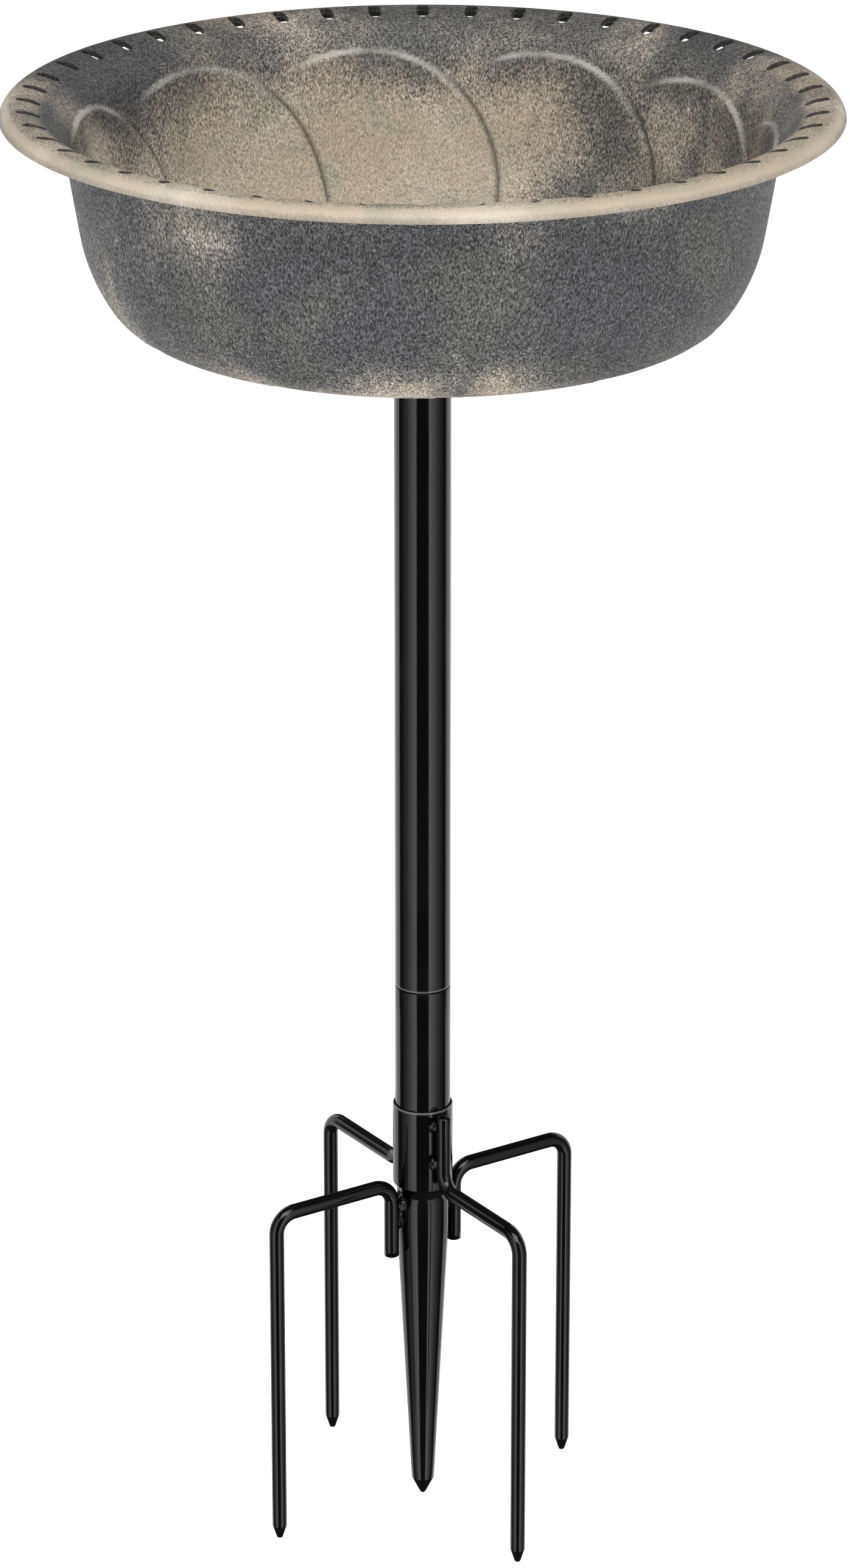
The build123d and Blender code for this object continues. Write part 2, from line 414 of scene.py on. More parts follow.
def paint_tint(n, paint, caught):
    """Dark plastic where no paint is caught, tan to cream paint where it is."""
    slate = colour(72, 72, 74)
    olive = colour(84, 84, 81)
    tan_paint = colour(186, 171, 151)
    cream = colour(210, 198, 181)
    sage = colour(168, 163, 143)
    thin_paint = colour(150, 149, 146)
    dark = n.blend(n.step(n.noise(24.0, 3.0), 0.42, 0.66), slate, olive)
    warm = n.blend(n.step(n.noise(16.0, 3.0, 0.5, 0.5), 0.42, 0.72), tan_paint, cream)
    warm = n.blend(n.step(n.noise(38.0, 2.0, 0.5, 0.8), 0.5, 0.75), warm, sage)
    warm = n.blend(n.step(paint, 0.12, 0.5), thin_paint, warm)
    return n.blend(caught, dark, warm)


def bowl_plastic():
    """Dark speckled plastic with tan paint dry-brushed over it in clouds, painted highlights on the ridges
    and painted shade in the creases and slots.
    """
    n = Nodes("bowl_plastic", 0.62)
    x, y, z = n.add("ShaderNodeSeparateXYZ", {0: n.place}).outputs
    squares = n.math("MULTIPLY_ADD", y, y, n.math("MULTIPLY", x, x))
    on_lip = n.step(n.math("SQRT", squares), CREST_RADIUS + 1 * MM, CREST_RADIUS + 3.5 * MM)
    paint = paint_amount(n, on_lip, y, z)

    # Fine grain: short upright strokes that the paint catches on, and less of them on the lip
    grain = n.noise(1900.0, 1.0, 0.5, 0.0, n.stretched(1.0, 1.0, 0.42))
    pits = n.noise(800.0, 2.0, 0.6)
    speckle = n.math("MULTIPLY_ADD", pits, 0.35, n.math("MULTIPLY", grain, 0.65))
    rough = n.math("MULTIPLY_ADD", on_lip, -0.8, 1.0)
    depth = n.math("MULTIPLY", n.math("SUBTRACT", speckle, 0.5), rough)
    caught = n.step(n.math("MULTIPLY_ADD", depth, 0.9, paint), 0.0, 1.0)
    tint = paint_tint(n, paint, caught)

    # The grain's shadows are deepest where there is least paint
    contrast = n.math("MULTIPLY_ADD", paint, -4.4, 7.0)
    light = n.math("MAXIMUM", n.math("MULTIPLY_ADD", depth, contrast, 1.0), 0.25)
    shade = n.add("ShaderNodeCombineColor", {0: light, 1: light, 2: light}).outputs[0]
    tint = n.blend(1.0, tint, shade, "MULTIPLY")

    # Painted highlight mixed with dry-brushed cream along the ridges
    edge_highlight = n.step(n.noise(34.0, 2.0), 0.36, 0.6, 0.2, 0.62)
    tint = n.blend(n.math("MULTIPLY", n.attribute("ridge"), edge_highlight), tint, colour(214, 210, 200))
    # Painted shade in the creases where one petal comes out from under the next
    tint = n.blend(n.math("MULTIPLY", n.attribute("crease"), 0.8), tint, colour(52, 47, 41))
    # Near-black painted shade on the slots' walls and under the lip's roll
    tint = n.blend(n.math("MULTIPLY", n.attribute("painted_shade"), 0.9), tint, colour(22, 21, 20))

    n.wire("Base Color", tint)
    n.wire("Roughness", n.step(speckle, 0.3, 0.7, 0.72, 0.5))
    n.wire("Normal", n.bump(depth, 0.45 * MM, 0.8))
    return n.material


def powder_coat():
    """Gloss black powder coat with a fine orange peel, a trace of dust and a painted grey highlight on
    marked edges.
    """
    n = Nodes("black_powder_coat", 0.12)
    peel = n.noise(420.0, 2.0, 0.5)
    haze = n.noise(35.0, 4.0, 0.6)
    black = n.blend(n.step(haze, 0.45, 0.8), (0.0008, 0.0008, 0.0008, 1), (0.003, 0.003, 0.0032, 1))
    # Grey on the marked edges is a painted highlight along the tubes' rounded ends
    n.wire("Base Color", n.blend(n.attribute("edge_highlight"), black, (0.12, 0.12, 0.12, 1)))
    n.wire("Roughness", n.step(haze, 0.3, 0.75, 0.08, 0.15))
    n.wire("Normal", n.bump(peel, 0.04 * MM, 0.2))
    return n.material


def zinc():
    """Bright zinc plate with turning marks."""
    n = Nodes("zinc_plate", 0.32)
    n.shader.inputs["Metallic"].default_value = 1.0
    turning = n.noise(300.0, 2.0, 0.5, 0.0, n.stretched(0.1, 0.1, 6.0))
    bloom = n.noise(120.0, 4.0, 0.6)
    n.wire("Base Color", n.blend(bloom, (0.50, 0.51, 0.52, 1), (0.68, 0.68, 0.67, 1)))
    n.wire("Roughness", n.step(bloom, 0.3, 0.7, 0.25, 0.42))
    n.wire("Normal", n.bump(turning, 0.05 * MM, 0.4))
    return n.material


def brass():
    """Turned brass, a little tarnished."""
    n = Nodes("turned_brass", 0.3)
    n.shader.inputs["Metallic"].default_value = 1.0
    tarnish = n.noise(160.0, 4.0, 0.6)
    turning = n.noise(300.0, 2.0, 0.5, 0.0, n.stretched(0.1, 0.1, 6.0))
    n.wire("Base Color", n.blend(tarnish, (0.68, 0.46, 0.18, 1), (0.42, 0.27, 0.10, 1)))
    n.wire("Roughness", n.step(tarnish, 0.3, 0.7, 0.22, 0.45))
    n.wire("Normal", n.bump(turning, 0.05 * MM, 0.4))
    return n.material


def rubber():
    """Matt black rubber with a faint bloom."""
    n = Nodes("washer_rubber", 0.75)
    bloom = n.noise(90.0, 4.0, 0.6)
    n.wire("Base Color", n.blend(bloom, (0.012, 0.012, 0.012, 1), (0.035, 0.034, 0.033, 1)))
    n.wire("Normal", n.bump(n.noise(1500.0), 0.05 * MM, 0.5))
    return n.material


# ---------------------------------------------------------------- bowl
def bowl_chain():
    """The arcs and the line that make the bowl's inner skin, from the crest inwards.

    Each link is its kind, centre, radius, start angle and length. The straight one is its kind,
    start, direction, normal and length.
    """
    inward = Vector((-cos(WALL_LEAN), sin(WALL_LEAN)))
    roll_centre = Vector((CREST_RADIUS, RIM_TOP - RIM_ROLL))
    wall_top = roll_centre + inward * RIM_ROLL
    outer_top = roll_centre + inward * (RIM_ROLL - BOWL_WALL)
    wall_drop = outer_top.y - (RIM_TOP - WALL_FOOT_DEPTH)
    downward = Vector((-tan(WALL_LEAN), -1)) * wall_drop
    outer_foot = outer_top + downward
    flank_centre = outer_foot + inward * FLANK_RADIUS
    turn = WALL_LEAN + FLANK_SWEEP
    corner_centre = flank_centre + Vector((cos(turn), -sin(turn))) * (FLANK_RADIUS - CORNER_RADIUS)
    floor_edge = corner_centre + Vector((sin(FLOOR_SLOPE), -cos(FLOOR_SLOPE))) * CORNER_RADIUS
    floor_radius = floor_edge.x / sin(FLOOR_SLOPE)
    floor_centre = Vector((0, floor_edge.y + floor_radius * cos(FLOOR_SLOPE)))
    flank = FLANK_RADIUS - BOWL_WALL
    corner = CORNER_RADIUS - BOWL_WALL
    crown = floor_radius - BOWL_WALL
    quarter = pi / 2
    return (
        ("convex", roll_centre, RIM_ROLL, quarter, RIM_ROLL * (quarter - WALL_LEAN)),
        ("straight", wall_top, downward.normalized(), inward, downward.length),
        ("hollow", flank_centre, flank, -WALL_LEAN, flank * FLANK_SWEEP),
        ("hollow", corner_centre, corner, -turn, corner * (quarter - FLOOR_SLOPE - turn)),
        ("hollow", floor_centre, crown, FLOOR_SLOPE - quarter, crown * FLOOR_SLOPE),
    )


CHAIN = bowl_chain()
SKIN_LENGTH = sum(link[4] for link in CHAIN)


def skin(distance):
    """The inner skin at this length from the crest: its point and the normal into the bowl."""
    for link in CHAIN:
        if distance <= link[4] or link is CHAIN[-1]:
            break
        distance -= link[4]
    kind = link[0]
    if kind == "straight":
        return link[1] + link[2] * distance, link[3]
    if kind == "convex":
        angle = link[3] + distance / link[2]
        spoke = Vector((cos(angle), sin(angle)))
        return link[1] + spoke * link[2], spoke
    angle = link[3] - distance / link[2]
    spoke = Vector((cos(angle), sin(angle)))
    return link[1] + spoke * link[2], -spoke


def side_line(depth):
    """How far a petal's right outline is turned from its middle, at this depth below its top."""
    if depth <= 0:
        return 0.0
    share = max(1 - depth / PETAL_DROP, 0.0)
    return PETAL_RIGHT * sqrt(1 - share * share)


PETAL_FACE = skin(PETAL_TOP + SHOULDER)[0].x  # radius of the wall where the petals are
PETAL_TURN = 2 * pi / PETAL_COUNT
FINE_COLUMNS = 2 * SLOT_COUNT * SECTOR_COLUMNS
COLUMN_TURN = 2 * pi / FINE_COLUMNS
SECTOR_START = -pi / SLOT_COUNT
SHOULDER_LINE = BACK_PETAL - side_line(SHOULDER)


def snap(azimuth):
    """The small turn that brings a column of the mesh onto each petal's outline."""
    share = (azimuth - SHOULDER_LINE) / PETAL_TURN
    before = floor(share)
    turns = []
    for index in (before, before + 1):
        line = SHOULDER_LINE + index * PETAL_TURN
        column = SECTOR_START + round((line - SECTOR_START) / COLUMN_TURN) * COLUMN_TURN
        turns.append(line - column)
    return turns[0] + (turns[1] - turns[0]) * (share - before)


def fade(value, low, high):
    share = min(max((value - low) / (high - low), 0.0), 1.0)
    return share * share * (3 - 2 * share)


def petal_relief(azimuth, distance):
    """Height of the relief, and how much the point is in a crease and on a ridge.

    Each petal lies over the left side of the next one, clockwise seen from above.
    """
    depth = distance - PETAL_TOP
    if depth < -3 * MM:
        return 0.0, 0.0, 0.0
    # Which petal is on top here, and the place across it
    side = side_line(depth)
    turn = BACK_PETAL - azimuth
    index = ceil((turn - side) / PETAL_TURN)
    across = (turn - index * PETAL_TURN) * PETAL_FACE
    from_next = across - (side - PETAL_TURN) * PETAL_FACE

    # How far inside the petal's outline, from the slope of the ellipse's equation
    half = (PETAL_RIGHT if across > 0 else PETAL_LEFT) * PETAL_FACE
    rise = max(PETAL_DROP - depth, 0.0) / PETAL_DROP
    reach = sqrt((across / half) ** 2 + rise ** 2)
    slope = sqrt((across / half ** 2) ** 2 + (rise / PETAL_DROP) ** 2)
    inside = (1 - reach) * reach / max(slope, 1e-3)

    # A raised edge that sinks to a low plateau, with a ridge along its top that gets a painted highlight
    # and dry-brushed cream
    left_fade = fade(across, -34 * MM, -14 * MM)
    plateau = 0.15 + 0.85 * exp(-max(inside, 0.0) / (15 * MM))
    bevel = (0.8 + 1.4 * rise ** 2) * MM
    height = PETAL_HEIGHT * plateau * fade(inside, -0.1 * MM, bevel)
    height *= left_fade + (1 - left_fade) * fade(inside, 0, 30 * MM)
    ridge = fade(inside, -0.4 * MM, 0.3 * MM) * (1 - fade(inside, 1.5 * MM, 2.6 * MM))
    ridge *= left_fade * (1 - fade(depth, 9 * MM, 24 * MM))

    # The crease where the next petal comes out from under this one; all of it ends on the floor
    deep = 1 - fade(distance, 112 * MM, 160 * MM)
    beside = min(max(inside, 0.0), abs(from_next))
    crease = fade(depth, 5 * MM, 16 * MM) * exp(-((beside / (1.05 * MM)) ** 2)) * deep
    if across < 0 and beside != abs(from_next):
        crease = 0.0
    return height * deep - 0.5 * MM * crease, crease, ridge


def slot_outline(grow):
    """One slot's outline as (across, outwards) from its middle, grown by this much."""
    radius = SLOT_HALF_WIDTH + grow
    ends = SLOT_HALF_STRAIGHT
    found = []
    for first, end in ((210, -ends), (30, ends)):
        for i in range(SECTOR_COLUMNS):
            a = radians(first + 120 * i / SECTOR_COLUMNS)
            found.append((radius * cos(a), end + radius * sin(a)))
        side = 1 if end < 0 else -1
        shoulder = radius * sin(radians(30))
        for i in range(SECTOR_ROWS):
            height = (ends + shoulder) * (2 * i / SECTOR_ROWS - 1)
            beyond = max(abs(height) - ends, 0.0)
            found.append((side * sqrt(radius * radius - beyond * beyond), side * height))
    return found


def rim_height(radius, inset):
    """Height of the rim's upper skin, or of a skin inset from it, at this radius."""
    roll = RIM_ROLL if radius < CREST_RADIUS else LIP_ROLL
    return RIM_TOP - roll + sqrt((roll - inset) ** 2 - (radius - CREST_RADIUS) ** 2)


def slot_ring(shell, azimuth, grow, inset, sink):
    """One slot's outline on a skin of the rim, grown by this much and then sunk by this much."""
    found = []
    for across, outwards in slot_outline(grow):
        r = SLOT_MIDDLE + outwards
        a = azimuth + across / r
        found.append(shell.point(r * cos(a), r * sin(a), rim_height(r, inset) + sink))
        # Rings inside the slot's rounded edge take painted shade
        shell.values["painted_shade"][found[-1]] = 0.0 if grow >= SLOT_EDGE else 1.0
    return found


def slotted_band(shell, angles):
    """The band of the rim that holds the slots. Returns its four edge rings, top and under."""
    edges = []
    loops = []
    for inset in (0.0, BOWL_WALL):
        inner = shell.ring(BAND_INNER, rim_height(BAND_INNER, inset), angles)
        outer = shell.ring(BAND_OUTER, rim_height(BAND_OUTER, inset), angles)
        seams = []
        for k in range(SLOT_COUNT):
            a = angles[k * SECTOR_COLUMNS]
            seam = []
            for row in range(1, SECTOR_ROWS):
                r = BAND_INNER + (BAND_OUTER - BAND_INNER) * row / SECTOR_ROWS
                seam.append(shell.point(r * cos(a), r * sin(a), rim_height(r, inset)))
            seams.append(seam)
        edges += [inner, outer]
        around = []
        for k in range(SLOT_COUNT):
            columns = [(k * SECTOR_COLUMNS + i) % len(angles) for i in range(SECTOR_COLUMNS + 1)]
            loop = [inner[i] for i in columns] + seams[(k + 1) % SLOT_COUNT]
            loop += [outer[i] for i in reversed(columns)] + list(reversed(seams[k]))
            around.append(loop)
        loops.append(around)

    for k in range(SLOT_COUNT):
        middle = 2 * pi * k / SLOT_COUNT
        chain = [
            loops[0][k],
            slot_ring(shell, middle, 1.3 * MM, 0, 0),
            slot_ring(shell, middle, SLOT_EDGE, 0, 0),
            slot_ring(shell, middle, SLOT_EDGE * 0.3, 0, -SLOT_EDGE * 0.3),
            slot_ring(shell, middle, 0, 0, -SLOT_EDGE),
            slot_ring(shell, middle, 0, BOWL_WALL, SLOT_EDGE),
            slot_ring(shell, middle, SLOT_EDGE, BOWL_WALL, 0),
            loops[1][k],
        ]
        for one, other in zip(chain, chain[1:]):
            shell.bridge(one, other)
    return edges


def lip(shell, angles, top_edge, under_edge):
    """The rolled lip outside the slots, with the fine parting edge along its foot."""
    centre = (CREST_RADIUS, RIM_TOP - LIP_ROLL)
    inner_roll = LIP_ROLL - BOWL_WALL
    beyond = BAND_OUTER - CREST_RADIUS
    top_start = degrees(acos(beyond / LIP_ROLL))
    under_end = degrees(acos(beyond / inner_roll))
    end = 90 - degrees(LIP_SWEEP)
    # A shallow groove above the parting edge, then the rounded edge itself
    edge = (
        (LIP_ROLL - 0.15 * MM, end + 3),
        (LIP_ROLL, end + 0.5),
        (LIP_ROLL - 0.2 * MM, end - 1.5),
        (LIP_ROLL - BOWL_WALL / 2, end - 2),
        (inner_roll + 0.2 * MM, end - 1.5),
    )
    shown = arc(*centre, LIP_ROLL, top_start, end + 4, 12)[1:]
    shown += [polar(*centre, radius, angle) for radius, angle in edge]
    hidden = arc(*centre, inner_roll, end + 2, under_end, 5)[:-1]
    previous = top_edge
    # The hidden under side of the roll takes painted shade
    for painted_shade, rows in ((0.0, shown), (1.0, hidden)):
        for r, z in rows:
            ring = shell.ring(r, z, angles)
            for index in ring:
                shell.values["painted_shade"][index] = painted_shade
            shell.bridge(previous, ring)
            previous = ring
    shell.bridge(previous, under_edge)


def relief_ring(shell, distance, columns, outer_share):
    """A ring of one skin at this length from the crest, raised by the petals.

    outer_share is None on the inner skin; on the outer skin it is how much of the relief shows.
    """
    point, normal = skin(distance)
    ring = []
    depth = distance - PETAL_TOP
    follow = 0.0
    settle = 0.0
    if outer_share is None:
        follow = side_line(max(depth, SHOULDER)) - side_line(SHOULDER)
        settle = fade(distance, 17 * MM, 24 * MM)
    for i in range(columns):
        a = SECTOR_START + 2 * pi * i / columns
        a += snap(a) * settle - follow
        height, crease, ridge = petal_relief(a, distance)
        if outer_share is None:
            place_at = point + normal * height
        else:
            place_at = point - normal * (BOWL_WALL - height * outer_share)
        index = shell.point(place_at.x * cos(a), place_at.x * sin(a), place_at.y)
        if outer_share is None:
            shell.values["crease"][index] = crease
            shell.values["ridge"][index] = ridge
        else:
            shell.values["outside"][index] = 1.0
        ring.append(index)
    return ring


def spread(start, end, step):
    """Evenly spaced lengths from start to end, about a step apart."""
    count = max(1, round((end - start) / step))
    return [start + (end - start) * i / count for i in range(count)]


def cover_skin(shell, edge, stretches, outer_share):
    """One skin from its edge by the slots to the middle of the floor.

    Each stretch is its first and last length from the crest, the step and the columns.
    """
    rows = []
    for first, last, step, columns in stretches:
        rows += [(distance, columns) for distance in spread(first, last, step)]
    previous = edge
    for distance, columns in rows[1:]:
        ring = relief_ring(shell, distance, columns, outer_share)
        shell.join(previous, ring)
        previous = ring
    wall = 0.0 if outer_share is None else BOWL_WALL
    shell.cap(previous, shell.point(0, 0, skin(SKIN_LENGTH)[0].y - wall))


def skins(shell, top_edge, under_edge):
    """Both skins from the slots inwards, their columns halved towards the middle."""
    columns = SLOT_COUNT * SECTOR_COLUMNS
    start = RIM_ROLL * asin((CREST_RADIUS - BAND_INNER) / RIM_ROLL)
    inner = (
        (start, 17 * MM, 1.2 * MM, columns),
        (17 * MM, 54 * MM, 1.0 * MM, FINE_COLUMNS),
        (54 * MM, 104 * MM, 2.2 * MM, FINE_COLUMNS),
        (104 * MM, 150 * MM, 2.5 * MM, columns),
        (150 * MM, 180 * MM, 4 * MM, columns // 2),
        (180 * MM, 205 * MM, 5 * MM, columns // 4),
    )
    cover_skin(shell, top_edge, inner, None)

    start = RIM_ROLL * asin((CREST_RADIUS - BAND_INNER) / (RIM_ROLL - BOWL_WALL))
    outer = (
        (start, 30 * MM, 1.5 * MM, columns),
        (30 * MM, 110 * MM, 3 * MM, columns),
        (110 * MM, 180 * MM, 5 * MM, columns // 2),
        (180 * MM, 205 * MM, 5 * MM, columns // 4),
    )
    cover_skin(shell, under_edge, outer, OUTER_RELIEF)


def boss(shell):
    """The moulded boss under the floor, with its bore for the insert."""
    bore, _, bore_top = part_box("bowl_insert")[1]
    radius = BOSS_RADIUS
    foot = BOWL_LOW[2]
    root = skin(SKIN_LENGTH)[0].y - BOWL_WALL * 0.6
    edge = 1.0 * MM
    profile = [(radius + 1.8 * MM, root), (radius + 0.9 * MM, root - 2.2 * MM), (radius, root - 4 * MM)]
    profile += arc(radius - edge, foot + edge, edge, 0, -90, 4)
    profile += arc(bore + edge / 2, foot + edge / 2, edge / 2, 270, 180, 3)
    profile += [(bore, bore_top), (0.2 * MM, bore_top), (0.2 * MM, root)]
    shell.lathe(profile, 96)


def rib(shell, azimuth):
    """One rounded web between the boss and the floor."""
    turn = radians(azimuth)
    along = Vector((cos(turn), sin(turn), 0))
    across = Vector((-sin(turn), cos(turn), 0)) * (RIB_THICK / 2)
    foot = BOWL_LOW[2] + RIB_LIFT
    root = skin(SKIN_LENGTH)[0].y - BOWL_WALL / 2
    stations = 10
    # Share of the half thickness, and height in mm above the lower edge, or None at the root
    outline = ((-1, None), (-1, 0.5), (-0.6, 0.12), (0, 0), (0.6, 0.12), (1, 0.5), (1, None))
    sections = []
    for i in range(stations + 1):
        share = i / stations
        reach = RIB_ROOT + share * (RIB_REACH - RIB_ROOT)
        low = foot + (root + BOWL_WALL / 2 - foot) * share
        section = []
        for side, lift in outline:
            height = root + share * BOWL_WALL / 2 if lift is None else low + lift * MM
            at = along * reach + across * side + Vector((0, 0, max(height, low)))
            section.append(shell.point(*at))
        sections.append(section)
    for one, other in zip(sections, sections[1:]):
        shell.bridge(one, other)
    shell.faces.append(tuple(sections[0]))
    shell.faces.append(tuple(sections[-1]))


def make_bowl(material):
    """The bowl as one closed shell, with its boss and ribs rooted in the floor."""
    shell = Shell()
    columns = SLOT_COUNT * SECTOR_COLUMNS
    angles = [SECTOR_START + 2 * pi * i / columns for i in range(columns)]
    top_inner, top_outer, under_inner, under_outer = slotted_band(shell, angles)
    lip(shell, angles, top_outer, under_outer)
    skins(shell, top_inner, under_inner)
    first = len(shell.points)
    boss(shell)
    for k in range(RIB_COUNT):
        rib(shell, 360 * k / RIB_COUNT)
    shell.values["outside"].update(dict.fromkeys(range(first, len(shell.points)), 1.0))
    place(shell.finish("bowl_shell", material), "bowl", "bowl", "feeder_bowl")


# ---------------------------------------------------------------- turned pieces
def rounded_tube(inner, outer, foot, top, edge):
    """Closed section of a tube with rounded ends, as (radius, height)."""
    section = arc(outer - edge, foot + edge, edge, 270, 360, 4)
    section += arc(outer - edge, top - edge, edge, 0, 90, 4)
    section += arc(inner + edge, top - edge, edge, 90, 180, 4)
    section += arc(inner + edge, foot + edge, edge, 180, 270, 4)
    return section


def dense(section, step=12 * MM):
    """The same closed section with long runs divided, so that shading stays even."""
    found = []
    for one, other in zip(section, section[1:] + section[:1]):
        length = sqrt((other[0] - one[0]) ** 2 + (other[1] - one[1]) ** 2)
        count = max(1, round(length / step))
        for i in range(count):
            share = i / count
            found.append((one[0] + (other[0] - one[0]) * share, one[1] + (other[1] - one[1]) * share))
    return found


def make_tube(name, node, body, material, wall, edge, highlight_height):
    """A plain tube, with a painted highlight along its outer edge at this height."""
    low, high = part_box(node)
    inner, outer = high[0] - wall, high[0]
    side = 1 if highlight_height > (low[2] + high[2]) / 2 else -1
    section = arc(outer - edge, low[2] + edge, edge, 270, 360, 4)
    section += [(outer, low[2] + 1 * MM), (outer, high[2] - 1 * MM)]
    section += arc(outer - edge, high[2] - edge, edge, 0, 90, 4)
    section += arc(inner + edge, high[2] - edge, edge, 90, 180, 4)
    section += arc(inner + edge, low[2] + edge, edge, 180, 270, 4)

    # Outer rings within half a millimetre of this height get the painted highlight
    def edge_highlight(r, z):
        return r > inner + wall / 2 and side * (highlight_height - z) < 0.5 * MM

    shell = Shell()
    shell.lathe(dense(section), 128, edge_highlight)
    place(shell.finish(name, material), body, "black_steel", node)


def make_lower_pole(material):
    """The short tube, with the swaged neck that the long one slides over."""
    low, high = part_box("lower_pole_tube")
    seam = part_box("upper_pole_tube")[0][2]
    radius = high[0]
    wall = 1 * MM
    bore = radius - wall
    neck = bore - 0.1 * MM
    edge = 0.35 * MM
    foot, top = low[2], high[2]
    shoulder = seam - 0.45 * MM  # a narrow dark gap stays under the upper tube
    corner = 0.2 * MM
    section = arc(radius - edge, foot + edge, edge, 270, 360, 4)
    section += arc(radius - corner, shoulder - corner, corner, 0, 90, 3)
    section += [(neck, shoulder)]
    section += arc(neck - edge, top - edge, edge, 0, 90, 4)
    section += [(neck - wall, top), (neck - wall, seam - 2 * MM), (bore, seam - 4 * MM), (bore, foot)]
    shell = Shell()
    shell.lathe(dense(section), 128)
    place(shell.finish("lower_pole", material), "lower_pole", "black_steel", "lower_pole_tube")


def make_spike(material):
    """The tapered middle spike, hollow at the top."""
    low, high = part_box("centre_spike")
    sleeve_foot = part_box("stake_sleeve")[0][2]
    plug = high[0]
    radius = SPIKE_RADIUS
    end = 4.65 * MM  # radius where the taper meets the point
    wall = 1.5 * MM
    tip = low[2]
    straight = sleeve_foot - 21 * MM
    point = tip + 7.5 * MM
    section = [(0.05 * MM, tip), (0.7 * MM, tip + 0.15 * MM), (1.3 * MM, tip + 0.8 * MM)]
    section += [(end - 0.25 * MM, point - 0.5 * MM), (end, point + 0.3 * MM)]
    section += [(radius - 0.1 * MM, straight - 1.5 * MM), (radius, straight + 1.5 * MM)]
    section += [(radius, sleeve_foot - 0.3 * MM), (plug, sleeve_foot - 0.1 * MM), (plug, high[2])]
    section += [(radius - wall, high[2]), (radius - wall, straight)]
    section += [(end - wall, point), (0.05 * MM, point)]
    shell = Shell()
    shell.lathe(dense(section, 6 * MM), 128)
    place(shell.finish("stake_spike", material), "stake", "black_steel", "centre_spike")


def thread_radius(angle, height):
    """Radius of a right-handed thread with flattened crests and roots."""
    phase = (height / THREAD_PITCH - angle / (2 * pi)) % 1.0
    triangle = abs(2 * phase - 1)
    return THREAD_CREST - THREAD_DEPTH * fade(triangle, 0.12, 0.88)


def make_stud(material):
    """The plug in the pole's top with its threaded stud."""
    low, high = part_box("pole_top_stud")
    plug = high[0] - 0.02 * MM
    washer_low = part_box("bowl_washer")[0][2]
    shell = Shell()
    columns = 96
    angles = [2 * pi * i / columns for i in range(columns)]
    rings = [shell.ring(0.1 * MM, low[2], angles), shell.ring(plug - 0.5 * MM, low[2], angles)]
    rings += [shell.ring(plug, low[2] + 0.5 * MM, angles)]
    rings += [shell.ring(plug, washer_low - 0.4 * MM, angles)]
    rings += [shell.ring(plug - 0.4 * MM, washer_low - 0.02 * MM, angles)]
    rows = 90
    for k in range(rows + 1):
        z = washer_low + (high[2] - washer_low) * k / rows
        limit = THREAD_CREST - max(0.0, z - (high[2] - 1.2 * MM)) * 0.9
        ring = []
        for a in angles:
            r = min(thread_radius(a, z), limit)
            ring.append(shell.point(r * cos(a), r * sin(a), z))
        rings.append(ring)
    rings.append(shell.ring(0.1 * MM, high[2], angles))
    for one, other in zip(rings, rings[1:]):
        shell.bridge(one, other)
    shell.bridge(rings[-1], rings[0])
    place(shell.finish("pole_stud", material), "upper_pole", "zinc_steel", "pole_top_stud")


def make_insert(material):
    """The threaded insert in the bowl's boss, knurled outside."""
    low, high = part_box("bowl_insert")
    outer = high[0]
    knurl = 0.25 * MM
    columns = 144
    angles = [2 * pi * i / columns for i in range(columns)]
    shell = Shell()
    rings = []
    rows = 60
    for k in range(rows + 1):
        z = low[2] + (high[2] - low[2]) * k / rows
        ring = []
        for a in angles:
            r = thread_radius(a, z) + THREAD_DEPTH + THREAD_SLIP
            ring.append(shell.point(r * cos(a), r * sin(a), z))
        rings.append(ring)
    for k in range(rows + 1):
        z = high[2] - (high[2] - low[2]) * k / rows
        ring = []
        for i, a in enumerate(angles):
            groove = knurl if (i + k) % 4 < 2 and 4 < k < rows - 4 else 0.0
            r = outer - groove
            ring.append(shell.point(r * cos(a), r * sin(a), z))
        rings.append(ring)
    for one, other in zip(rings, rings[1:]):
        shell.bridge(one, other)
    shell.bridge(rings[-1], rings[0])
    place(shell.finish("threaded_insert", material), "bowl", "brass", "bowl_insert")


def make_washer(material):
    """The flat rubber washer that the bowl's boss is screwed down on."""
    low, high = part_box("bowl_washer")
    bore = THREAD_CREST + 0.35 * MM
    edge = 0.5 * MM
    shell = Shell()
    shell.lathe(rounded_tube(bore, high[0], low[2], high[2], edge), 96)
    place(shell.finish("seat_washer", material), "washer", "rubber", "bowl_washer")


# ---------------------------------------------------------------- prongs
def rod_path(leg_up):
    """The rod's centreline as (outwards, height): the welded leg, the arm and the long leg."""
    side = 1 if leg_up else -1
    arm = BEND
    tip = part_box("prong_front_left")[0][2]
    path = [(LEG_CIRCLE, arm + side * (INNER_LEG - INNER_LEG * i / 8)) for i in range(6)]
    first = arc(LEG_CIRCLE + BEND, arm + side * BEND, BEND, 180, 180 + side * 90, 14)
    path += [p for p in first if abs(p[1] - arm) < BEND + 1e-9]
    path += [(LEG_CIRCLE + BEND + (PRONG_CIRCLE - LEG_CIRCLE - 2 * BEND) * i / 6, arm) for i in range(1, 6)]
    path += arc(PRONG_CIRCLE - BEND, arm - BEND, BEND, 90, 0, 14)
    foot = tip + POINT
    path += [(PRONG_CIRCLE, foot * i / 10) for i in range(1, 11)]
    return path


